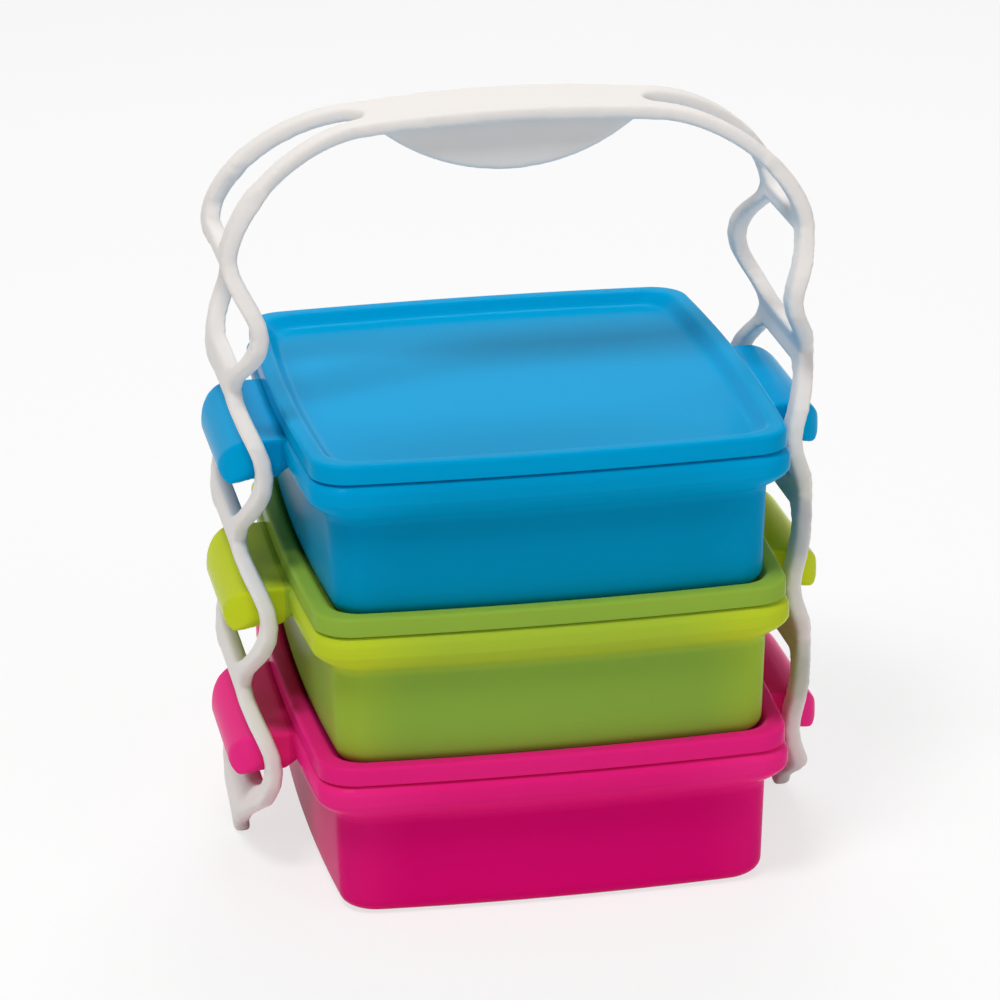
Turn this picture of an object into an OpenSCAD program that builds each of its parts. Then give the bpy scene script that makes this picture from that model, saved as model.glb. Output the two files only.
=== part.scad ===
// Stacking food carrier: three square-round boxes with press-on lids, hung in one
// white moulded carrier.  X runs across the carrier, Y front to back, Z up.
// The origin is the middle of the bottom box's base.

/* [Boxes] */
// Width of a lid, between the two sides that have tabs
lid_w = 165; // [140:1:200]
// Depth of a lid, front to back
lid_d = 180; // [150:1:215]
// Radius of a lid's corners seen from above
corner_r = 13; // [9:1:24]
// How far the middle of each side bows out past its ends
side_bow = 3.5; // [1.5:0.5:6]
// Height of one closed box, base to lid top
box_h = 57; // [48:1:72]
// Thickness of a box's wall
wall_t = 2; // [1.4:0.1:2.6]
// Thickness of a box's floor
floor_t = 2.2; // [1.6:0.1:3]
// How far the wall stands in from the lid's outline, just under the collar
wall_in = 5.8; // [5.5:0.1:8]
// Extra step inwards from there down to the base
wall_taper = 1; // [0.5:0.1:3]
// Radius between wall and base
base_r = 6; // [5:0.5:9]
// Height of the hollow under the base, inside the foot ring
foot_h = 0.8; // [0.4:0.1:1.5]
// Height of the collar, from the foot of its rolled underside to its crest
collar_h = 11; // [9:0.5:13]
// Height of the collar's upright face
collar_face = 4; // [2:0.5:6]
// How far the collar stands out past the lid
collar_out = 1; // [0.4:0.1:2]
// Height of the lip that the lid presses on
lip_h = 4.8; // [4:0.1:5.4]

/* [Lids] */
// Thickness of a lid
lid_t = 1.7; // [1.2:0.1:2]
// Height of a lid's skirt
skirt_h = 6.5; // [5.5:0.5:8]
// Free space between a box's wall and the rim of the tray it stands in
tray_gap = 1.4; // [1:0.1:2]
// Depth of the tray that the next box's base sits in
tray_h = 4; // [3:0.5:6]
// Width of the sloping side of the tray
tray_slope = 3.5; // [2.5:0.5:6]

/* [Tabs] */
// Length of a tab along the side of its box
tab_l = 68; // [50:1:80]
// How far a tab reaches past the lid
tab_out = 21.5; // [19:0.5:26]
// Radius of a tab's curl
tab_r = 11; // [8:0.5:11]
// Radius of the tuck at a tab's lower edge
tab_tuck_r = 5; // [3:0.5:5.5]
// Height of a tab
tab_h = 16.5; // [16.5:0.5:19]
// Thickness of a tab
tab_t = 2.6; // [2:0.1:3.2]
// Radius of a tab's lower corners seen from the side
tab_corner_r = 8; // [4:0.5:11]
// Radius of a tab's outer corners seen from above
tab_end_r = 12; // [6:0.5:14]

/* [Straps] */
// Thickness of the moulding across the straps
strap_t = 5; // [4:0.1:6]
// Width of one strand
strand_w = 9; // [7:0.5:10]
// Strap's place past the lid, where a rung joins its strands
strap_out = 16; // [14:0.5:20]
// How far the strap waves inwards between rungs
strap_wave = 8; // [3:0.5:9]
// Height of a rung between two tabs
rung_h = 11; // [8:0.5:14]
// Height of the top rung
top_rung_h = 6; // [5:0.5:10]
// Free space between a tab's end and the strand beside it
eye_gap = 3; // [2:0.5:6]
// Distance between a strap's two strands at a rung, centre to centre
fork_w = 50; // [36:1:60]
// Length of the shorter empty eye above the boxes
top_eye = 44; // [36:1:60]
// How far each rung sits under the middle of the gap between tabs
rung_drop = 1.5; // [0:0.5:4]
// Free space under the lowest tab before the carrier takes the load
lift_slack = 6; // [5.5:0.5:9]
// Width of the tongue's rounded tip
tip_w = 9; // [6:0.5:14]
// Angle round the shoulder at which a strap begins to flex
flex_angle = 35; // [25:1:50]
// Gap round the line that a strap flexes about
flex_gap = 0.5; // [0.3:0.1:0.8]

/* [Grip] */
// Rise of the arch over the straps' top rungs
arch_rise = 39; // [30:1:60]
// Width of each shoulder, from the end of the straight top outwards
shoulder_w = 48.5; // [40:0.5:60]
// Fullness of a shoulder's curve, where 2 is an ellipse
shoulder_full = 1.7; // [1.6:0.1:2.4]
// Distance between a shoulder's two strands where they part, centre to centre
fork_start = 22; // [18:1:28]
// Crown of the arch's long top
arch_crown = 2.5; // [0.5:0.5:5]
// Thickness of the grip band
grip_t = 3.5; // [3:0.1:5]
// Width of the grip band
grip_w = 33; // [24:1:38]
// Length of the finger rest
rest_l = 92; // [80:1:110]
// Depth of the finger rest under the band
rest_h = 17.5; // [12:0.5:24]
// Width of the finger rest
rest_w = 20; // [14:1:22]
// Where the slot of a shoulder starts, measured back from the end of the top
slot_start = 2; // [-6:1:8]

/* [Hidden] */
$fn = 48;

pink = [0.93, 0.18, 0.50];
green = [0.72, 0.80, 0.20];
blue = [0.00, 0.62, 0.84];
white = [0.95, 0.94, 0.93];

fit = 0.3;                 // clearance between neighbouring pieces
edge = 0.4;                // small chamfer of a moulded edge
far = 400;                 // longer than any cut needs
side_steps = 3;            // facets from the middle of a side to its corner
corner_steps = 5;          // facets round a corner
roll_steps = 5;            // facets of the collar's rolled underside
fillet_steps = 4;          // facets from wall to base

tier = box_h - tray_h;     // rise from one box's base to the next
stack_top = 2 * tier + box_h;

// heights above a box's own base
skirt_z = box_h - skirt_h;
collar_top = skirt_z - fit;
collar_crest = collar_top - 3;
collar_low = collar_crest - collar_h;
roll_h = collar_h - collar_face;
lip_top = collar_top + lip_h;
tab_top = box_h - 7.5;
tab_low = tab_top - tab_h;

// places across the carrier
collar_x = lid_w / 2 + collar_out;
tab_x = lid_w / 2 + tab_out;
rung_x = lid_w / 2 + strap_out;

// strap heights, from the bottom tab up
tab_mid = (tab_top + tab_low) / 2;
rung_z = [for (k = [0:2]) tab_mid + (k + 0.5) * tier - rung_drop];
top_rung_z = rung_z[2] + top_eye;
tongue_z = tab_low - lift_slack;
wide_y = tab_l / 2 + eye_gap + strand_w / 2;
fork_y = fork_w / 2;

// the arch
top_x = rung_x - shoulder_w;
flex_x = shoulder(flex_angle)[0];
flex_z = shoulder(flex_angle)[1];

function flat(lists) = [for (l = lists) each l];

// radius of an arc that rises by bow over half a chord
function bow_r(half, bow) = (half * half + bow * bow) / (2 * bow);

// a quarter of a bowed rectangle with round corners, from [a, 0] to [0, b]
function quarter(a, b, r) =
    let (rx = bow_r(b, side_bow), ry = bow_r(a, side_bow),
         c0 = [a - rx, 0], c1 = [0, b - ry],
         gap = norm(c1 - c0), u = (c1 - c0) / gap, v = [-u[1], u[0]],
         t = ((rx - r) * (rx - r) - (ry - r) * (ry - r) + gap * gap) / (2 * gap),
         c = c0 + u * t + v * sqrt((rx - r) * (rx - r) - t * t),
         a0 = atan2(c[1] - c0[1], c[0] - c0[0]),
         a1 = atan2(c[1] - c1[1], c[0] - c1[0]))
    concat([for (i = [0:side_steps - 1]) let (g = a0 * i / side_steps)
               c0 + rx * [cos(g), sin(g)]],
           [for (i = [0:corner_steps]) let (g = a0 + (a1 - a0) * i / corner_steps)
               c + r * [cos(g), sin(g)]],
           [for (i = [1:side_steps]) let (g = a1 + (90 - a1) * i / side_steps)
               c1 + ry * [cos(g), sin(g)]]);

// the whole outline, moved in by inset from the lid's outline
function outline(inset) =
    let (q = quarter(lid_w / 2 - inset, lid_d / 2 - inset, corner_r - inset / 4),
         m = len(q) - 1)
    concat([for (i = [0:m - 1]) q[i]],
           [for (i = [m:-1:1]) [-q[i][0], q[i][1]]],
           [for (i = [0:m - 1]) -q[i]],
           [for (i = [m:-1:1]) [q[i][0], -q[i][1]]]);

// a closed shell: steps of [inset, z] run from its first flat to its last
module shell(steps) {
    rings = [for (s = steps) [for (p = outline(s[0])) [p[0], p[1], s[1]]]];
    n = len(rings[0]);
    m = len(rings);
    sides = [for (k = [0:m - 2]) for (i = [0:n - 1])
        let (a = k * n + i, b = k * n + (i + 1) % n, c = a + n, d = b + n)
        each [[a, c, b], [b, c, d]]];
    ends = [[for (i = [0:n - 1]) i],
            [for (i = [n - 1:-1:0]) (m - 1) * n + i]];
    polyhedron(points = flat(rings), faces = concat(ends, sides), convexity = 8);
}

// a quarter round between wall and base, r the radius, at the wall's inset
function base_round(inset, r, z) =
    [for (i = [0:fillet_steps]) let (g = 90 * i / fillet_steps)
        [inset + r * (1 - sin(g)), z + r * (1 - cos(g))]];

function reversed(list) = [for (i = [len(list) - 1:-1:0]) list[i]];

base_in = wall_in + wall_taper;
rim_w = base_in - tray_gap;            // flat rim round a lid's top
lip_in = lid_t + 0.6;
lip_t = rim_w - lid_t / 2 - 0.2 - lip_in;  // the lip fills the channel under the rim

module container_shell() {
    foot = base_in + base_r;
    inner_r = base_r - wall_t / 2;
    shell(concat(
        [[foot + 8, foot_h], [foot + 6.5, foot_h], [foot + 5.5, 0]],
        base_round(base_in, base_r, 0),
        [for (i = [0:roll_steps]) let (s = 1 - i / roll_steps)
            [(wall_in + collar_out) * pow(s, 1.5) - collar_out, collar_low + roll_h * (1 - s)]],
        [[-collar_out, collar_crest],
         [0.5 - collar_out, collar_crest + 1.4],
         [2 - collar_out, collar_top - 0.5],
         [lip_in, collar_top],
         [lip_in, lip_top - edge],
         [lip_in + edge, lip_top],
         [lip_in + lip_t - edge, lip_top],
         [lip_in + lip_t, lip_top - edge],
         [lip_in + lip_t, collar_low + roll_h - 1],
         [wall_in + wall_t, collar_low - 1]],
        reversed(base_round(base_in + wall_t, inner_r, floor_t + foot_h))));
}

module lid_shell() {
    tray_z = tier - fit;
    under_z = tray_z - lid_t;
    channel_z = lip_top + fit;
    tray_in = rim_w + tray_slope;
    shell([[tray_in + 2, under_z],
           [tray_in - lid_t / 2 + 0.3, under_z],
           [tray_in - lid_t / 2 - 0.8, under_z + 0.5],
           [rim_w - lid_t / 2 + 0.2, channel_z - 0.6],
           [rim_w - lid_t / 2 - 0.5, channel_z],
           [lid_t, channel_z],
           [lid_t, skirt_z],
           [edge / 2, skirt_z],
           [0, skirt_z + edge],
           [0, box_h - 1.3],
           [0.35, box_h - 0.4],
           [1.3, box_h],
           [rim_w, box_h],
           [rim_w + 0.9, box_h - 0.5],
           [tray_in - 0.5, tray_z + 0.3],
           [tray_in + 0.8, tray_z]]);
}

// the section of a tab, closed down to its lower edge; t takes it in all round
module tab_section(t) {
    reach = tab_x - t;
    r = tab_r - t;
    tuck = tab_tuck_r - t;
    tuck_x = tab_x - tab_tuck_r;
    tuck_z = tab_low + tab_tuck_r;
    root = collar_x - 3 - (t > 0 ? 1 : 0);
    polygon(concat(
        [[root, tab_top - t]],
        [for (i = [0:8]) let (g = 90 - i * 90 / 8)
            [reach - r + r * cos(g), tab_top - t - r + r * sin(g)]],
        [for (i = [0:5]) let (g = -i * 90 / 5)
            [tuck_x + tuck * cos(g), tuck_z + tuck * sin(g)]],
        t > 0 ? [[tuck_x, tab_low - 1], [root, tab_low - 1]]
              : [[collar_x + 5, tab_low], [root, collar_low + 4]]));
}

// a tab's outline seen from the side, lower corners round
module tab_side() {
    c = tab_corner_r;
    half = tab_l / 2;
    polygon(concat(
        [[half, tab_top + 1], [-half, tab_top + 1]],
        [for (i = [0:6]) let (g = 180 + i * 15)
            [-half + c + c * cos(g), tab_low + c + c * sin(g)]],
        [for (i = [0:6]) let (g = 270 + i * 15)
            [half - c + c * cos(g), tab_low + c + c * sin(g)]]));
}

// a tab's outline seen from above, taken in by t
module tab_plan(t) {
    r = tab_end_r - t;
    half = tab_l / 2 - t;
    reach = tab_x - t;
    side = [for (i = [0:6]) [reach - r + r * sin(i * 15), half - r + r * cos(i * 15)]];
    polygon(concat([[0, half]], side, reversed([for (p = side) [p[0], -p[1]]]),
                   [[0, -half]]));
}

module tab() {
    difference() {
        intersection() {
            rotate([90, 0, 0]) linear_extrude(tab_l, center = true) tab_section(0);
            rotate([90, 0, 90]) linear_extrude(far) tab_side();
            linear_extrude(far) tab_plan(0);
        }
        intersection() {
            rotate([90, 0, 0]) linear_extrude(tab_l - 2 * tab_t, center = true)
                tab_section(tab_t);
            linear_extrude(far) tab_plan(tab_t);
        }
    }
}

module container() {
    container_shell();
    tab();
    mirror([1, 0, 0]) tab();
}

// share of the way from fork to widest, 0 at a rung and 1 between rungs
function spread(part) = 1 - pow(1 - (1 - cos(360 * part)) / 2, 2);

// how far along its eye a height lies, 0 at the rung above and 1 at the one below
function eye_part(z) =
    z > rung_z[2] ? (top_rung_z - z) / top_eye : (rung_z[2] - z) / tier;

function strand_y(z) =
    fork_y + (wide_y - fork_y) * spread(eye_part(z));
function strap_x(z) =
    rung_x - strap_wave * (1 - cos(360 * min(eye_part(z), 3))) / 2;

// the arch's centre line in the XZ plane, from angle 0 at a top rung to 90
function shoulder(g) = [top_x + shoulder_w * pow(cos(g), 2 / shoulder_full),
                        top_rung_z + arch_rise * pow(sin(g), 2 / shoulder_full)];

// points of a band of thickness t along a line of points
function side_of(line, t) =
    [for (i = [0:len(line) - 1])
        let (a = line[max(i - 1, 0)], b = line[min(i + 1, len(line) - 1)],
             d = (b - a) / norm(b - a))
        line[i] + t * [-d[1], d[0]]];
module band(line, t) {
    polygon(concat(side_of(line, t / 2), reversed(side_of(line, -t / 2))));
}

// half a circle that rounds off a band's first end, from its right side to its left
function round_end(line, t) =
    let (d = line[1] - line[0], g = atan2(d[1], d[0]))
    [for (i = [1:7]) let (h = g + 270 - 180 * i / 8)
        line[0] + t / 2 * [cos(h), sin(h)]];

strap_steps = 10;
tip_z = fit;
strap_line = concat(
    [for (i = [0:5]) shoulder(flex_angle * (1 - i / 6))],
    [for (i = [0:strap_steps - 1]) let (z = top_rung_z - top_eye * i / strap_steps)
        [strap_x(z), z]],
    [for (i = [0:2 * strap_steps]) let (z = rung_z[2] - tier * i / strap_steps)
        [strap_x(z), z]],
    [for (i = [1:strap_steps]) let (z = rung_z[0] - tier * i / strap_steps)
        if (z > tip_z) [strap_x(z), z]],
    [[rung_x - 1, tip_z]]);

// how far a shoulder's strands stand apart, from the slot's start to the top rung
function shoulder_y(x) =
    let (part = max(0, min(1, (x - top_x + slot_start) / (shoulder_w + slot_start))))
    (fork_start + (fork_w - fork_start) * pow(part, 1.3)) / 2;
function shoulder_y_at(z) =
    let (s = min(1, max(0, (z - top_rung_z) / arch_rise)))
    shoulder_y(top_x + shoulder_w * pow(1 - pow(s, shoulder_full), 1 / shoulder_full));

// the eye under rung k, k = 0 for the empty one at the top
function eye_top(k) = k == 0 ? top_rung_z - top_rung_h / 2 : rung_z[3 - k] - rung_h / 2;
function eye_low(k) = k == 3 ? tongue_z : rung_z[2 - k] + rung_h / 2;
module eye(k) {
    high = eye_top(k);
    low = eye_low(k);
    n = 12;
    side = [for (i = [0:n]) let (z = low + (high - low) * i / n)
        [min(strand_y(z) - strand_w / 2,
             fork_y - strand_w / 2 + 2.2 * sqrt(max(0, min(z - low, high - z))
             * strand_w)), z]];
    polygon(concat(side, reversed([for (p = side) [-p[0], p[1]]])));
}

// one strap seen from the side, without its eyes
module strap_side() {
    upper = [for (i = [0:5]) let (z = flex_z + 3 - (flex_z + 3 - top_rung_z) * i / 6)
        [shoulder_y_at(z) + strand_w / 2, z]];
    top = [for (i = [0:9]) let (z = top_rung_z - top_eye * i / 10)
        [strand_y(z) + strand_w / 2, z]];
    lower = [for (i = [0:26]) let (z = rung_z[2] - tier * i / 10)
        if (z > tongue_z) [strand_y(z) + strand_w / 2, z]];
    reach = strand_y(tongue_z) + strand_w / 2;
    tip_r = tip_w / 2;
    tongue = [for (i = [0:8]) let (s = i / 8, z = tongue_z - (tongue_z - tip_z - tip_r) * s)
        [tip_r + (reach - tip_r) * (1 - s), z]];
    tip = [for (i = [1:3]) tip_r * [cos(i * 90 / 4), -sin(i * 90 / 4)] + [0, tip_z + tip_r]];
    side = concat(upper, top, lower, tongue, tip, [[0.5, tip_z]]);
    polygon(concat(side, reversed([for (p = side) [-p[0], p[1]]])));
}

// the slot of a shoulder, seen from the side, above the top rung
module shoulder_slot_side() {
    low = top_rung_z + top_rung_h / 2;
    side = [for (i = [0:6]) let (z = low + (flex_z + 6 - low) * i / 6)
        [shoulder_y_at(z) - strand_w / 2 - (i == 0 ? 3 : 0), z]];
    polygon(concat(side, reversed([for (p = side) [-p[0], p[1]]])));
}

module strap() {
    intersection() {
        rotate([90, 0, 0]) linear_extrude(far, center = true)
            polygon(concat(side_of(strap_line, strap_t / 2),
                           reversed(side_of(strap_line, -strap_t / 2)),
                           round_end(strap_line, strap_t)));
        rotate([90, 0, 90]) linear_extrude(far) difference() {
            strap_side();
            shoulder_slot_side();
            for (k = [0:3]) eye(k);
        }
    }
}

arch_line = concat(
    [for (g = [flex_angle:5:85]) shoulder(g)],
    [for (i = [0:12]) let (x = top_x * (1 - i / 6))
        [x, top_rung_z + arch_rise + arch_crown * (1 - pow(x / top_x, 2))]],
    [for (g = [85:-5:flex_angle]) let (p = shoulder(g)) [-p[0], p[1]]]);

// the band seen from above; its slots open where the shoulders start
module arch_plan() {
    n = 8;
    slot_x = top_x - slot_start;
    slot_r = (fork_start - strand_w) / 2;
    slot_end = flex_x + 5;
    half = concat(
        [for (i = [0:5]) let (x = slot_x * i / 6)
            [x, grip_w / 2 - (grip_w / 2 - shoulder_y(slot_x) - strand_w / 2)
                * pow(i / 6, 2)]],
        [for (i = [0:n]) let (x = slot_x + (flex_x + 3 - slot_x) * i / n)
            [x, shoulder_y(x) + strand_w / 2]]);
    slot = concat(
        [for (g = [0:15:75]) let (x = slot_x + slot_r * (1 - cos(g)))
            [x, max(0.01, (shoulder_y(x) - strand_w / 2) * sin(g))]],
        [for (i = [0:n]) let (x = slot_x + slot_r + (slot_end - slot_x - slot_r) * i / n)
            [x, shoulder_y(x) - strand_w / 2]]);
    difference() {
        polygon(concat(half, reversed([for (p = half) [p[0], -p[1]]]),
                       [for (p = half) [-p[0], -p[1]]],
                       reversed([for (p = half) [-p[0], p[1]]])));
        for (s = [-1, 1])
            polygon(concat([for (p = slot) [s * p[0], p[1]]],
                           reversed([for (p = slot) [s * p[0], -p[1]]])));
    }
}

// the finger rest, a lens under the middle of the band
module finger_rest() {
    r = bow_r(rest_l / 2, rest_h);
    top = top_rung_z + arch_rise;
    intersection() {
        translate([0, 0, top - rest_h + r]) rotate([90, 0, 0])
            cylinder(r = r, h = rest_w, center = true, $fn = 96);
        translate([-rest_l / 2, -rest_w / 2, top - rest_h])
            cube([rest_l, rest_w, rest_h + 0.5]);
    }
}

module grip() {
    color(white) {
        difference() {
            intersection() {
                rotate([90, 0, 0]) linear_extrude(far, center = true)
                    band(arch_line, (grip_t + strap_t) / 2);
                translate([0, 0, top_rung_z]) linear_extrude(far) arch_plan();
            }
            for (s = [-1, 1])
                translate([s * flex_x, 0, flex_z]) rotate([90, 0, 0])
                    cylinder(r = strap_t / 2 + flex_gap, h = far, center = true);
        }
        finger_rest();
    }
}

module pink_container() { color(pink) container(); }
module pink_lid() { color(pink) lid_shell(); }
module green_container() { color(green) translate([0, 0, tier]) container(); }
module green_lid() { color(green) translate([0, 0, tier]) lid_shell(); }
module blue_container() { color(blue) translate([0, 0, 2 * tier]) container(); }
module blue_lid() { color(blue) translate([0, 0, 2 * tier]) lid_shell(); }
module right_strap() { color(white) strap(); }
module left_strap() { color(white) mirror([1, 0, 0]) strap(); }

pink_container();
pink_lid();
green_container();
green_lid();
blue_container();
blue_lid();
grip();
left_strap();
right_strap();
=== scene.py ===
# %% [markdown]
# # A stacking food carrier
#
# Three square-round boxes with press-on lids hang in one white moulded carrier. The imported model
# brings the pieces at their real size and says how each one moves. This file gives them the
# surfaces that the moulds would: soft edges, one continuous carrier, and coloured plastic.

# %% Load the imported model
import math

import bmesh
import bpy
import numpy as np
from mathutils import Matrix, Vector


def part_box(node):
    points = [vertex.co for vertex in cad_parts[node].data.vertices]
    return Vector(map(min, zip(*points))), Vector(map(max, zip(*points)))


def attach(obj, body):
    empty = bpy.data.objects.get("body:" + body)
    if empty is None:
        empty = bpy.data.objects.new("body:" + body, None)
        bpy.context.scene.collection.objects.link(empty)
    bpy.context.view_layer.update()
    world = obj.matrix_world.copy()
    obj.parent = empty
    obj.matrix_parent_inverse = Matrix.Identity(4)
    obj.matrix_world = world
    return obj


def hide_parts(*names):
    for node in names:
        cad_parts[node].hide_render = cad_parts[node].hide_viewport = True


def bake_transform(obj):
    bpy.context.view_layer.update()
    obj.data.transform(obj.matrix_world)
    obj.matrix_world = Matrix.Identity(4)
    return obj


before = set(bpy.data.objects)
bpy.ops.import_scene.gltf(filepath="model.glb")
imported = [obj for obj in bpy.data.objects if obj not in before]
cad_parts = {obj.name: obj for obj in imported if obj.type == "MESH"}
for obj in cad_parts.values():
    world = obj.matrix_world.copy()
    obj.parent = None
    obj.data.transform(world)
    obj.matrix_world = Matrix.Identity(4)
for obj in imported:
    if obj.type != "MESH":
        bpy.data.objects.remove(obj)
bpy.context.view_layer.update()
MM = 0.001

# %% [markdown]
# ## Camera
#
# A long lens from well back keeps the boxes' sides nearly parallel, as in a catalogue. The camera
# stands a little to the left of the front and looks down at the lids. It is built from three
# angles: which way it faces, how steeply it looks down, and a small tilt.

# %% Camera
LOOK = Vector((0.16888, 0.92961, -0.32771)).normalized()
CAMERA_AT = Vector((0, 0, 0.130)) - LOOK * 1.557
TILT = math.radians(-0.79)
LENS = 161.64

right = LOOK.cross(Vector((0, 0, 1))).normalized()
up = right.cross(LOOK)
tilted_right = right * math.cos(TILT) + up * math.sin(TILT)
tilted_up = up * math.cos(TILT) - right * math.sin(TILT)

camera_data = bpy.data.cameras.new("camera")
camera_data.lens = LENS
camera_data.sensor_width = 36
camera_data.shift_x = -0.0090
camera_data.shift_y = -0.0385
camera_data.clip_end = 20
camera = bpy.data.objects.new("camera", camera_data)
axes = Matrix((tilted_right, tilted_up, -LOOK)).transposed()
camera.matrix_world = Matrix.Translation(CAMERA_AT) @ axes.to_4x4()
bpy.context.collection.objects.link(camera)
bpy.context.scene.camera = camera
print("camera at", [round(v, 3) for v in CAMERA_AT])

# %% [markdown]
# ## Writing materials as sums
#
# A material is a net of nodes, and a long net is hard to read as code. This small class wraps one
# output socket, so that `noise * 0.1 + 0.4` adds the Math nodes by itself. Colours never go
# through a Math node, which would turn them grey: they are mixed with `blend_colour`.

# %% A socket that does sums
class Value:
    def __init__(self, net, socket):
        self.net, self.socket = net, socket

    def math(self, operation, a, b):
        return self.net.add("ShaderNodeMath", {"operation": operation}, {0: a, 1: b})

    def __add__(self, other):
        return self.math("ADD", self, other)

    def __radd__(self, other):
        return self.math("ADD", other, self)

    def __sub__(self, other):
        return self.math("SUBTRACT", self, other)

    def __rsub__(self, other):
        return self.math("SUBTRACT", other, self)

    def __mul__(self, other):
        return self.math("MULTIPLY", self, other)

    def __rmul__(self, other):
        return self.math("MULTIPLY", other, self)


class Net:
    def __init__(self, name):
        self.material = bpy.data.materials.new(name)
        self.material.use_nodes = True
        self.tree = self.material.node_tree
        self.shader = self.tree.nodes["Principled BSDF"]

    def put(self, socket, value):
        if isinstance(value, Value):
            self.tree.links.new(value.socket, socket)
        else:
            socket.default_value = value

    def add(self, kind, settings=None, inputs=None, output=0):
        node = self.tree.nodes.new(kind)
        for name, value in (settings or {}).items():
            if name == "stops":
                while len(node.color_ramp.elements) < len(value):
                    node.color_ramp.elements.new(0.5)
                for stop, (place, shade) in zip(node.color_ramp.elements, value):
                    stop.position, stop.color = place, (shade, shade, shade, 1)
            else:
                setattr(node, name, value)
        for name, value in (inputs or {}).items():
            self.put(node.inputs[name], value)
        return Value(self, node.outputs[output])

    def blend_colour(self, factor, first, second, mode="MIX"):
        return self.add("ShaderNodeMix", {"data_type": "RGBA", "blend_type": mode},
                        {0: factor, 6: first, 7: second}, output=2)

    def set(self, **inputs):
        for name, value in inputs.items():
            self.put(self.shader.inputs[name.replace("_", " ")], value)


def linear(red, green, blue):
    """A colour as a paint chart gives it, 0 to 255, as the linear numbers a shader takes."""
    def one(c):
        c /= 255
        return c / 12.92 if c <= 0.04045 else ((c + 0.055) / 1.055) ** 2.4
    return (one(red), one(green), one(blue), 1)


print("value class ready")

# %% [markdown]
# ## Moulded plastic
#
# All seven pieces are moulded in soft, slightly waxy plastic. What tells it from paint is small:
# the shine is uneven from handling, the face has a very fine grain from the mould, and a tab or
# rim looks brighter because light travels through it. That brightness is painted into the colour:
# a number stored on each vertex, 0 on a broad wall and 1 on a tab, mixes in a lighter copy of the
# colour. The collar, the highlight line along its crest, the box corners, the lids and the carrier
# get a share of it as painted highlight. `SHINE` is kept low, since a strong reflection
# of a white room at a low angle would wash the colour out of a lid.

# %% Plastic
SHINE = 0.012
PLASTIC_IOR = 1.49
GLOW_DEPTH = 0.002    # metres that light reaches into the plastic
DEEPER = 0.93         # share of the colour that is left where the wall is unevenly thick


def moulded(name, wall, painted_lit_colour, rough, grain, glow, glow_radius):
    net = Net(name)
    place = net.add("ShaderNodeTexCoord", output="Object")
    cloud = net.add("ShaderNodeTexNoise", {}, {"Vector": place, "Scale": 14.0, "Detail": 1.0})
    handling = net.add("ShaderNodeTexNoise", {}, {"Vector": place, "Scale": 45.0, "Detail": 1.0})
    pores = net.add("ShaderNodeTexNoise", {}, {"Vector": place, "Scale": 1500.0, "Detail": 2.0})
    # Painted light: a number on each vertex mixes in a lighter copy of the colour where light would
    # shine through a tab or catch a rim.
    thin = net.add("ShaderNodeAttribute", {"attribute_name": "thin"}, output="Fac")
    body = net.blend_colour(thin, wall, painted_lit_colour)
    deeper = tuple(DEEPER * c for c in wall[:3]) + (1,)
    shade = net.add("ShaderNodeValToRGB", {"stops": [(0.40, 0.0), (0.75, 0.25)]}, {"Fac": cloud})
    net.set(Base_Color=net.blend_colour(shade * (1 - thin), body, deeper),
            Roughness=rough + (handling - 0.5) * 0.05 - thin * 0.06)
    bump = net.add("ShaderNodeBump", {}, {"Strength": grain, "Distance": 0.00004,
                                         "Height": pores})
    net.set(Normal=bump, IOR=PLASTIC_IOR, Specular_IOR_Level=SHINE, Subsurface_Weight=glow,
            Subsurface_Radius=glow_radius, Subsurface_Scale=GLOW_DEPTH)
    return net.material


PINK = moulded("pink_plastic", linear(222, 10, 116), linear(246, 48, 138), 0.26, 0.10,
               0.05, (1.0, 0.25, 0.5))
GREEN = moulded("green_plastic", linear(140, 178, 68), linear(202, 216, 40), 0.24, 0.08,
                0.08, (0.7, 1.0, 0.1))
BLUE = moulded("blue_plastic", linear(0, 143, 190), linear(0, 163, 220), 0.24, 0.10,
               0.05, (0.1, 0.5, 1.0))
WHITE = moulded("white_plastic", linear(236, 231, 227), linear(240, 235, 231), 0.34, 0.05,
                0.10, (1.0, 0.9, 0.8))
print("materials", [m.name for m in (PINK, GREEN, BLUE, WHITE)])

# %% [markdown]
# ## Rounded outlines
#
# Seen from above, a box is a rectangle whose sides bow out a little and whose corners are round.
# Each quarter is three arcs that meet without a kink: a long one, the corner, and a long one. The
# same arcs moved in by `inset` give every other ring of the moulding.

# %% The outline from above
LID_W, LID_D, CORNER_R, SIDE_BOW = 165.0, 180.0, 13.0, 3.5
SIDE_STEPS, CORNER_STEPS = 12, 12


def bow_r(half, bow):
    return (half * half + bow * bow) / (2 * bow)


def quarter(a, b, r):
    rx, ry = bow_r(b, SIDE_BOW), bow_r(a, SIDE_BOW)
    c0, c1 = np.array([a - rx, 0.0]), np.array([0.0, b - ry])
    gap = np.linalg.norm(c1 - c0)
    u = (c1 - c0) / gap
    v = np.array([-u[1], u[0]])
    t = ((rx - r) ** 2 - (ry - r) ** 2 + gap * gap) / (2 * gap)
    c = c0 + u * t + v * math.sqrt((rx - r) ** 2 - t * t)
    a0 = math.atan2(c[1] - c0[1], c[0] - c0[0])
    a1 = math.atan2(c[1] - c1[1], c[0] - c1[0])

    def arc(centre, radius, angles):
        return [centre + radius * np.array([math.cos(g), math.sin(g)]) for g in angles]

    return (arc(c0, rx, np.linspace(0, a0, SIDE_STEPS, endpoint=False))
            + arc(c, r, np.linspace(a0, a1, CORNER_STEPS + 1))
            + arc(c1, ry, np.linspace(a1, math.pi / 2, SIDE_STEPS + 1)[1:]))


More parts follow.
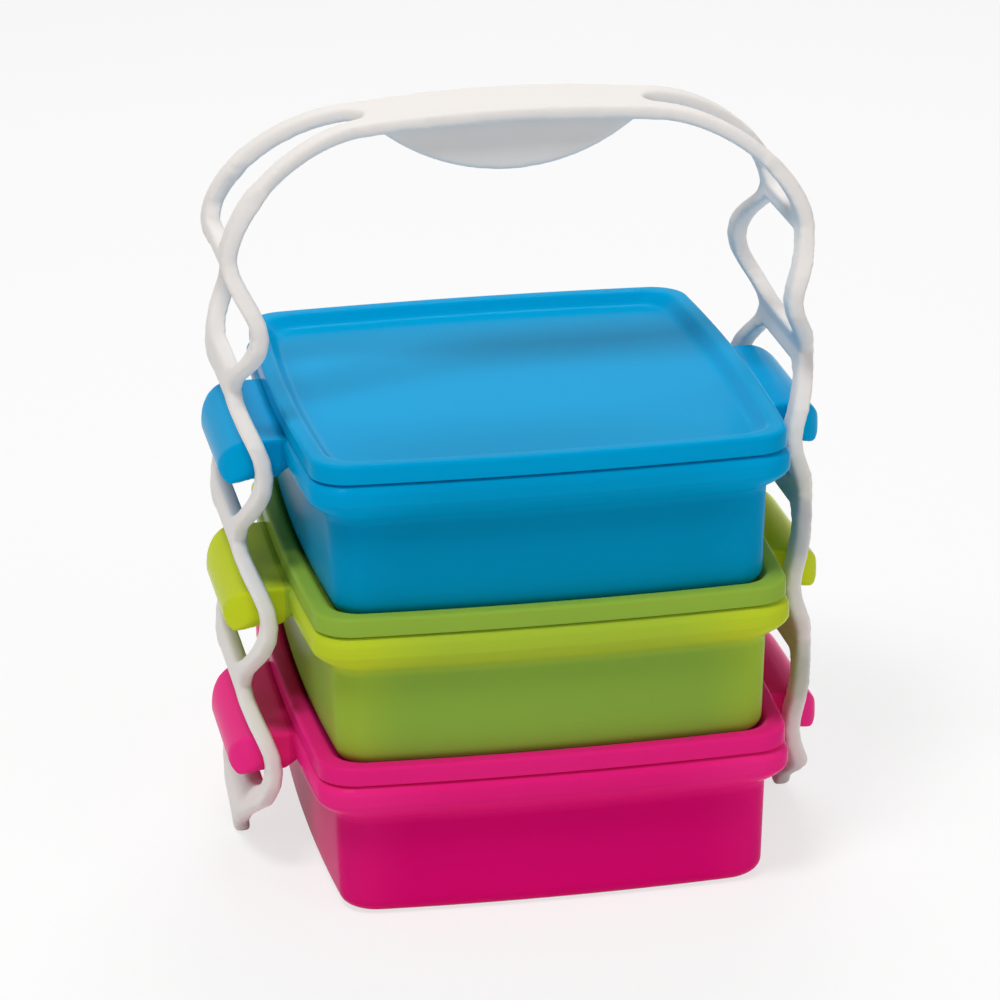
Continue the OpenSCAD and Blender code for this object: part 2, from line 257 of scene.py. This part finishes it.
def outline(inset):
    q = np.array(quarter(LID_W / 2 - inset, LID_D / 2 - inset, CORNER_R - inset / 4))
    flip_x, flip_y = np.array([-1, 1]), np.array([1, -1])
    return np.vstack([q[:-1], (q * flip_x)[:0:-1], -q[:-1], (q * flip_y)[:0:-1]])


print("points in a ring", len(outline(0)))

# %% [markdown]
# ## Rounding a section
#
# A mould has no sharp edges. Each corner of a section carries a radius, and the corner is traded
# for a short curve. With enough points on it, the edge catches a thin bright line of light.

# %% Round the corners of a section
def rounded(points, steps=5):
    """points are (inset, z, radius); gives the same line with its corners rounded."""
    out = []
    for i, (x, z, r) in enumerate(points):
        p = np.array([x, z], float)
        if r <= 0 or i in (0, len(points) - 1):
            out.append(p)
            continue
        a, b = np.array(points[i - 1][:2], float), np.array(points[i + 1][:2], float)
        to_a, to_b = a - p, b - p
        la, lb = np.linalg.norm(to_a), np.linalg.norm(to_b)
        reach = min(r, la * 0.49, lb * 0.49)
        start, stop = p + to_a / la * reach, p + to_b / lb * reach
        for k in range(steps + 1):
            s = k / steps
            out.append((1 - s) ** 2 * start + 2 * s * (1 - s) * p + s * s * stop)
    return out


def mesh_object(name, vertices, faces, material, thin):
    """A smooth-shaded piece, from millimetres, with its painted-light number on each vertex."""
    mesh = bpy.data.meshes.new(name)
    mesh.from_pydata([tuple(float(c) * MM for c in v) for v in vertices], [], faces)
    mesh.validate()
    work = bmesh.new()
    work.from_mesh(mesh)
    bmesh.ops.remove_doubles(work, verts=work.verts, dist=1e-7)
    bmesh.ops.recalc_face_normals(work, faces=work.faces)
    work.to_mesh(mesh)
    work.free()
    mesh.shade_smooth()
    store = mesh.attributes.new("thin", "FLOAT", "POINT")
    store.data.foreach_set("value", [thin(*(v.co / MM)) for v in mesh.vertices])
    mesh.materials.append(material)
    piece = bpy.data.objects.new(name, mesh)
    bpy.context.collection.objects.link(piece)
    return piece


def shell(steps, z0):
    """Vertices and faces of a closed shell: rings from its first flat to its last."""
    rings = [np.column_stack([outline(i), np.full(len(outline(i)), z + z0)]) for i, z in steps]
    n, m = len(rings[0]), len(rings)
    faces = [(k * n + i, k * n + (i + 1) % n, (k + 1) * n + (i + 1) % n, (k + 1) * n + i)
             for k in range(m - 1) for i in range(n)]
    return np.vstack(rings), faces + [tuple(range(n)), tuple((m - 1) * n + i for i in range(n))]


print("section helper ready")

# %% [markdown]
# ## Boxes
#
# A box is one shell: a foot ring, a rounded base, a wall that leans out, and near the top a rolled
# collar that stiffens it. The lid presses on the lip above the collar. The lid's skirt leaves a
# fine groove over the collar, and that dark line is what makes the two read as separate pieces.

# %% Heights of a box
BOX_H, TRAY_H, FIT = 57.0, 4.0, 0.3
SKIRT_H, COLLAR_H, LIP_H = 6.5, 11.0, 4.8
SKIRT_Z = BOX_H - SKIRT_H
COLLAR_TOP = SKIRT_Z - FIT
CREST = COLLAR_TOP - 3.0
COLLAR_LOW = CREST - COLLAR_H
ROLL_H = 7.0
LIP_TOP = COLLAR_TOP + LIP_H
WALL_IN, BASE_IN, BASE_R = 5.8, 6.8, 6.0
LIP_IN, LIP_T, WALL_T = 2.3, 2.05, 2.0
ROLL_STEPS, WALL_STEPS = 12, 12


def base_round(inset, r, z, steps=9):
    return [(inset + r * (1 - math.sin(g)), z + r * (1 - math.cos(g)))
            for g in np.linspace(0, math.pi / 2, steps)]


def box_section():
    foot = BASE_IN + BASE_R
    under = [tuple(p) for p in rounded([(foot + 8, 0.8, 0), (foot + 6.3, 0.8, 0.6),
                                        (foot + 5.5, 0, 0.6), (foot + 3.5, 0, 0)])]
    outer = base_round(BASE_IN, BASE_R, 0)
    roll = [((WALL_IN + 1) * s ** 1.5 - 1, COLLAR_LOW + ROLL_H * (1 - s))
            for s in np.linspace(1, 0, ROLL_STEPS)]
    top = [tuple(p) for p in rounded([
        (-1, COLLAR_LOW + ROLL_H + 0.5, 0), (-1, CREST + 0.6, 2.4), (1.0, COLLAR_TOP - 0.2, 1.0),
        (LIP_IN, COLLAR_TOP, 0.4), (LIP_IN, LIP_TOP, 0.6), (LIP_IN + LIP_T, LIP_TOP, 0.6),
        (LIP_IN + LIP_T, COLLAR_LOW + ROLL_H - 1, 4.0), (WALL_IN + WALL_T, COLLAR_LOW - 1, 4.0),
        (BASE_IN + WALL_T, 9.5, 0)])]
    inner = base_round(BASE_IN + WALL_T, BASE_R - WALL_T / 2, 3.0)[::-1]
    wall = [(BASE_IN + (WALL_IN - BASE_IN) * s, BASE_R + (COLLAR_LOW - BASE_R) * s)
            for s in np.linspace(0, 1, WALL_STEPS)[1:-1]]
    return under + outer + wall + roll + top + inner


print("rings in a box", len(box_section()))

# %% [markdown]
# ## Tabs
#
# A tab is a hood: a flat top that curls down and tucks under, closed at both ends and open below.
# Its shape is easy to say from three sides, so it is three straight blocks cut down to what they
# share. A smaller one made the same way is taken out of it to leave the wall. An even remesh and
# a little relaxing then round every edge, as the mould would.

# %% A tab
COLLAR_X, TAB_X, TAB_L, TAB_T = 83.5, 104.0, 68.0, 2.6
TAB_TOP, TAB_LOW, TAB_CORNER = 49.5, 33.0, 8.0
CURL_R, TUCK_R, END_R = 11.0, 5.0, 12.0


def arc(x, y, r, start, stop, steps=13):
    return [(x + r * math.cos(g), y + r * math.sin(g))
            for g in np.radians(np.linspace(start, stop, steps))]


def prism(points, axis, low, high):
    """A straight block whose section is points, along y, x or z."""
    place = {"y": lambda p, w: (p[0], w, p[1]), "x": lambda p, w: (w, p[0], p[1]),
             "z": lambda p, w: (p[0], p[1], w)}[axis]
    work = bmesh.new()
    rings = [[work.verts.new(place(p, w)) for p in points] for w in (low, high)]
    n = len(points)
    for i in range(n):
        work.faces.new((rings[0][i], rings[0][(i + 1) % n], rings[1][(i + 1) % n], rings[1][i]))
    work.faces.new(rings[0][::-1])
    work.faces.new(rings[1])
    bmesh.ops.recalc_face_normals(work, faces=work.faces)
    mesh = bpy.data.meshes.new("prism")
    work.to_mesh(mesh)
    work.free()
    piece = bpy.data.objects.new("prism", mesh)
    bpy.context.collection.objects.link(piece)
    return piece


def combine(body, other, how):
    cut = body.modifiers.new("cut", "BOOLEAN")
    cut.operation, cut.solver, cut.object = how, "EXACT", other
    mesh = bpy.data.meshes.new_from_object(
        body.evaluated_get(bpy.context.evaluated_depsgraph_get()))
    body.modifiers.clear()
    body.data = mesh
    bpy.data.objects.remove(other)
    return body


def tab_block(t):
    """The hood taken in by t all round; the piece between t = 0 and t = TAB_T is the tab."""
    root = COLLAR_X - 3 - (1 if t else 0)
    half, reach, tuck_x = TAB_L / 2 - t, TAB_X - t, TAB_X - TUCK_R
    section = ([(root, TAB_TOP - t)]
               + arc(reach - CURL_R + t, TAB_TOP - CURL_R, CURL_R - t, 90, 0, 17)
               + arc(tuck_x, TAB_LOW + TUCK_R, TUCK_R - t, 0, -90, 9)
               + ([(tuck_x, TAB_LOW - 1), (root, TAB_LOW - 1)] if t
                  else [(COLLAR_X + 5, TAB_LOW), (root, COLLAR_LOW + 4)]))
    r, c = END_R - t, TAB_CORNER - t
    plan = ([(root - 2, -half)] + arc(reach - r, -half + r, r, -90, 0)
            + arc(reach - r, half - r, r, 0, 90) + [(root - 2, half)])
    low = TAB_LOW - (2 if t else 0)
    side = ([(half, TAB_TOP + 1), (-half, TAB_TOP + 1)]
            + arc(-half + c, low + c, c, 180, 270) + arc(half - c, low + c, c, 270, 360))
    body = prism(section, "y", -half, half)
    combine(body, prism(plan, "z", TAB_LOW - 5, TAB_TOP + 5), "INTERSECT")
    return combine(body, prism(side, "x", root - 2, TAB_X + 5), "INTERSECT")


def soften(piece, voxel, rounds, swell=0.0):
    """Remeshes a solid (in millimetres) evenly, relaxes it and swells it back by a little."""
    remesh = piece.modifiers.new("remesh", "REMESH")
    remesh.mode, remesh.voxel_size = "VOXEL", voxel
    relax = piece.modifiers.new("relax", "SMOOTH")
    relax.factor, relax.iterations = 0.5, rounds
    dg = bpy.context.evaluated_depsgraph_get()
    mesh = bpy.data.meshes.new_from_object(piece.evaluated_get(dg))
    bpy.data.objects.remove(piece)
    co = np.zeros(len(mesh.vertices) * 3)
    mesh.vertices.foreach_get("co", co)
    out = np.zeros(len(mesh.vertices) * 3)
    mesh.vertex_normals.foreach_get("vector", out)
    faces = [tuple(p.vertices) for p in mesh.polygons]
    bpy.data.meshes.remove(mesh)
    return (co + swell * out).reshape(-1, 3), faces


TAB_VOXEL, TAB_ROUNDS, TAB_SWELL = 0.6, 10, 0.1
tab_points, tab_faces = soften(combine(tab_block(0), tab_block(TAB_T), "DIFFERENCE"),
                               TAB_VOXEL, TAB_ROUNDS, TAB_SWELL)
print("tab", len(tab_points), "points, box",
      [round(float(v), 1) for v in (*tab_points.min(0), *tab_points.max(0))])

# %% Put a box together
def make_box(name, z0, material):
    shell_points, faces = shell(box_section(), z0)
    parts, count = [shell_points], len(shell_points)
    for side in (1, -1):
        p = tab_points * np.array([side, 1, 1]) + np.array([0, 0, z0])
        parts.append(p)
        faces += [tuple(count + i for i in f) for f in tab_faces]
        count += len(p)

    # Painted light: the tabs take all of the lighter colour, and the collar, the highlight line on
    # its crest and the box corners take part of it.
    def thin(x, y, z):
        h = z - z0
        on_tab = abs(x) > COLLAR_X + 0.5
        collar = 0.45 * max(0.0, min(1.0, (h - COLLAR_LOW + 2) / 4))
        crest = 0.35 * max(0.0, 1 - abs(h - CREST) / 3)
        corner = 0.35 * max(0.0, min(1.0, (math.hypot(x / 76, y / 84) - 1.18) / 0.18))
        return 1.0 if on_tab else min(1.0, max(collar, crest) + corner)

    return mesh_object(name, np.vstack(parts), faces, material, thin)


boxes = {}
for colour, material in (("pink", PINK), ("green", GREEN), ("blue", BLUE)):
    node = colour + "_container"
    z0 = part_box(node)[0].z / MM
    boxes[node] = make_box(colour + "_box", z0, material)
    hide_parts(node)
    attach(boxes[node], node)
    print(node, "base at", round(z0, 2), "vertices", len(boxes[node].data.vertices))

# %% [markdown]
# ## Lids
#
# A lid is a thin sheet: a skirt with a fine roll at its top, a flat rim, a slope down, and a tray
# that holds the next box. The roll round the rim is narrow, so it carries the sharpest highlight
# on the whole object.

# %% Lids
RIM_W, TRAY_SLOPE, LID_T = 5.4, 3.5, 1.7
TRAY_Z = BOX_H - TRAY_H - FIT


def lid_section():
    tray_in = RIM_W + TRAY_SLOPE
    channel = LIP_TOP + FIT
    under = TRAY_Z - LID_T
    return [tuple(p) for p in rounded([
        (tray_in + 6, under, 0), (tray_in - LID_T / 2, under, 0.8),
        (RIM_W - LID_T / 2, channel, 0.8), (LID_T, channel, 0.5), (LID_T, SKIRT_Z, 0.3),
        (0, SKIRT_Z, 0.4), (0, BOX_H, 1.5), (RIM_W, BOX_H, 1.3),
        (tray_in, TRAY_Z, 2.0), (tray_in + 5, TRAY_Z, 0)], steps=7)]


lids = {}
# Each lid gets a fixed share of the lighter colour all over: painted light, strongest on pink and
# blue.
for colour, material, lid_painted_light in (("pink", PINK, 0.6), ("green", GREEN, 0.1), ("blue", BLUE, 0.8)):
    node = colour + "_lid"
    z0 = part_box(node)[1].z / MM - BOX_H
    points, faces = shell(lid_section(), z0)
    lids[node] = mesh_object(colour + "_cover", points, faces, material,
                             lambda x, y, z, painted_share=lid_painted_light: painted_share)
    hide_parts(node)
    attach(lids[node], node)
    print(node, "top at", round(z0 + BOX_H, 2))

# %% [markdown]
# ## Carrier
#
# The carrier is one moulding, so it is shaped as one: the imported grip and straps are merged, with
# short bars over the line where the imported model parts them, evened out into small faces and
# relaxed. That rounds the strands and fills the forks as a mould does. It is then cut into a grip
# and two sides, because each side has to bend at its shoulder. The cuts lie on the grip's half
# of each shoulder, where nothing bends.

# %% Merge and soften the carrier
STRAP_NODES = ("grip", "left_strap", "right_strap")
RUNG_X, TOP_RUNG_Z = 98.5, 216.25
SHOULDER_W, SHOULDER_FULL, ARCH_RISE, FLEX_ANGLE = 48.5, 1.7, 39.0, 35.0
FORK_START, FORK_W, FORK_BEND, SLOT_START, STRAND_W = 22.0, 50.0, 1.3, 2.0, 9.0
BAR_HALF_L, BAR_HALF_T = 4, 2.2
CARRIER_VOXEL, CARRIER_ROUNDS, CARRIER_SWELL = 0.7, 20, 0.3
# The carrier's white gets a small fixed share of its lighter copy: painted light.
CARRIER_PAINTED_LIGHT = 0.3


def shoulder(angle):
    g = math.radians(angle)
    return Vector((RUNG_X - SHOULDER_W + SHOULDER_W * math.cos(g) ** (2 / SHOULDER_FULL), 0,
                   TOP_RUNG_Z + ARCH_RISE * math.sin(g) ** (2 / SHOULDER_FULL)))


FLEX = shoulder(FLEX_ANGLE)
ALONG = (shoulder(FLEX_ANGLE - 1) - shoulder(FLEX_ANGLE + 1)).normalized()
part = (FLEX.x - RUNG_X + SHOULDER_W + SLOT_START) / (SHOULDER_W + SLOT_START)
FLEX_Y = (FORK_START + (FORK_W - FORK_START) * part ** FORK_BEND) / 2


def bridge(work, side, y):
    """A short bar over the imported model's flex line, so that grip and strap melt together."""
    across = Vector((-ALONG.z, 0, ALONG.x))
    corners = [FLEX + ALONG * a + across * b + Vector((0, y + c, 0))
               for a in (-BAR_HALF_L, BAR_HALF_L) for b in (-BAR_HALF_T, BAR_HALF_T)
               for c in (-STRAND_W / 2, STRAND_W / 2)]
    v = [work.verts.new((side * p.x, p.y, p.z)) for p in corners]
    for f in ((0, 1, 3, 2), (4, 6, 7, 5), (0, 4, 5, 1), (2, 3, 7, 6), (0, 2, 6, 4), (1, 5, 7, 3)):
        work.faces.new([v[i] for i in f])


def carrier_solid():
    work = bmesh.new()
    for node in STRAP_NODES:
        work.from_mesh(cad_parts[node].data)
    bmesh.ops.scale(work, vec=(1000, 1000, 1000), verts=work.verts)
    for side in (-1, 1):
        for y in (-FLEX_Y, FLEX_Y):
            bridge(work, side, y)
    bmesh.ops.recalc_face_normals(work, faces=work.faces)
    mesh = bpy.data.meshes.new("carrier")
    work.to_mesh(mesh)
    work.free()
    piece = bpy.data.objects.new("carrier", mesh)
    bpy.context.collection.objects.link(piece)
    return piece


carrier_points, carrier_faces = soften(carrier_solid(), CARRIER_VOXEL, CARRIER_ROUNDS,
                                        CARRIER_SWELL)
print("carrier", len(carrier_points), "points, flex line at",
      [round(v, 1) for v in FLEX], "strands at y", round(FLEX_Y, 1))

# %% Cut the carrier into a grip and two sides
GRIP_HALF = 60.0


middles = np.array([carrier_points[list(f)].mean(0)[0] for f in carrier_faces])


def carrier_piece(name, chosen):
    """The chosen faces as a piece. They share the whole's points, so no gap shows at a cut."""
    faces = [carrier_faces[i] for i in np.flatnonzero(chosen)]
    used = sorted({i for f in faces for i in f})
    new = {old: k for k, old in enumerate(used)}
    mesh = bpy.data.meshes.new(name)
    mesh.from_pydata([tuple(carrier_points[i] * MM) for i in used], [],
                     [tuple(new[i] for i in f) for f in faces])
    mesh.shade_smooth()
    store = mesh.attributes.new("thin", "FLOAT", "POINT")
    store.data.foreach_set("value", [CARRIER_PAINTED_LIGHT] * len(used))
    mesh.materials.append(WHITE)
    piece = bpy.data.objects.new(name, mesh)
    bpy.context.collection.objects.link(piece)
    return piece


grip = carrier_piece("carrier_grip", abs(middles) < GRIP_HALF)
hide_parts("grip")
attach(grip, "grip")
for name, side in (("left", -1), ("right", 1)):
    strap = carrier_piece(name + "_side", side * middles >= GRIP_HALF)
    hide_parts(name + "_strap")
    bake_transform(strap)

# %% [markdown]
# ## Room and light
#
# A pale floor and a white surround, with a broad light above and to the left, one behind and a
# weak one in front. The camera sees the surround as plain white, but the object is lit by a much
# dimmer one, so that its colours come out as they are written. The floor is part lit and part
# white, which keeps a faint shadow for the stack to stand on.

# %% What the camera sees behind the stack
AMBIENT = 0.32
FLOOR_SHOW = 0.7


def seen_directly(net):
    """1 where a ray comes from the camera, a reflection or a clear surface, else 0."""
    def ray(output):
        return Value(net, path.socket.node.outputs[output])
    path = net.add("ShaderNodeLightPath")
    total = ray("Is Camera Ray") + ray("Is Glossy Ray") + ray("Is Transmission Ray")
    return net.add("ShaderNodeMath", {"operation": "MINIMUM"}, {0: total, 1: 1.0})


# %% Floor
def floor_material():
    net = Net("floor_white")
    net.set(Base_Color=(0.96, 0.96, 0.96, 1), Roughness=0.9, Specular_IOR_Level=0.0)
    glow = net.add("ShaderNodeEmission", {}, {"Color": (1, 1, 1, 1), "Strength": 1.0})
    lit = Value(net, net.shader.outputs[0])
    mixed = net.add("ShaderNodeMixShader", {}, {0: seen_directly(net) * FLOOR_SHOW,
                                               1: lit, 2: glow})
    net.put(net.tree.nodes["Material Output"].inputs["Surface"], mixed)
    return net.material


floor_mesh = bpy.data.meshes.new("floor")
reach = 6.0
floor_mesh.from_pydata([(-reach, -reach, 0), (reach, -reach, 0), (reach, reach, 0),
                        (-reach, reach, 0)], [], [(0, 1, 2, 3)])
floor_mesh.materials.append(floor_material())
floor = bpy.data.objects.new("floor", floor_mesh)
bpy.context.collection.objects.link(floor)
print("floor", reach * 2, "m across")

# %% Lamps and surround
def lamp(name, at, size, watts):
    data = bpy.data.lights.new(name, "AREA")
    data.shape, data.size, data.energy = "DISK", size, watts
    piece = bpy.data.objects.new(name, data)
    piece.location = at
    aim = Vector((0, 0, 0.10)) - Vector(at)
    piece.rotation_euler = aim.to_track_quat("-Z", "Y").to_euler()
    bpy.context.collection.objects.link(piece)


lamp("key", (-0.7, -0.8, 2.1), 0.7, 24)
lamp("rear", (0.3, 1.2, 1.9), 0.9, 14)
lamp("fill", (1.5, -1.6, 0.9), 1.4, 6)


class WorldNet(Net):
    """The same helper for the surround, which has a node tree of its own."""
    def __init__(self, world):
        world.use_nodes = True
        self.tree = world.node_tree
        self.shader = self.tree.nodes["Background"]


world = bpy.data.worlds.new("surround")
surround = WorldNet(world)
surround.set(Color=(1, 1, 1, 1), Strength=AMBIENT + seen_directly(surround) * (1 - AMBIENT))
bpy.context.scene.world = world
bpy.context.scene.view_settings.view_transform = "Standard"
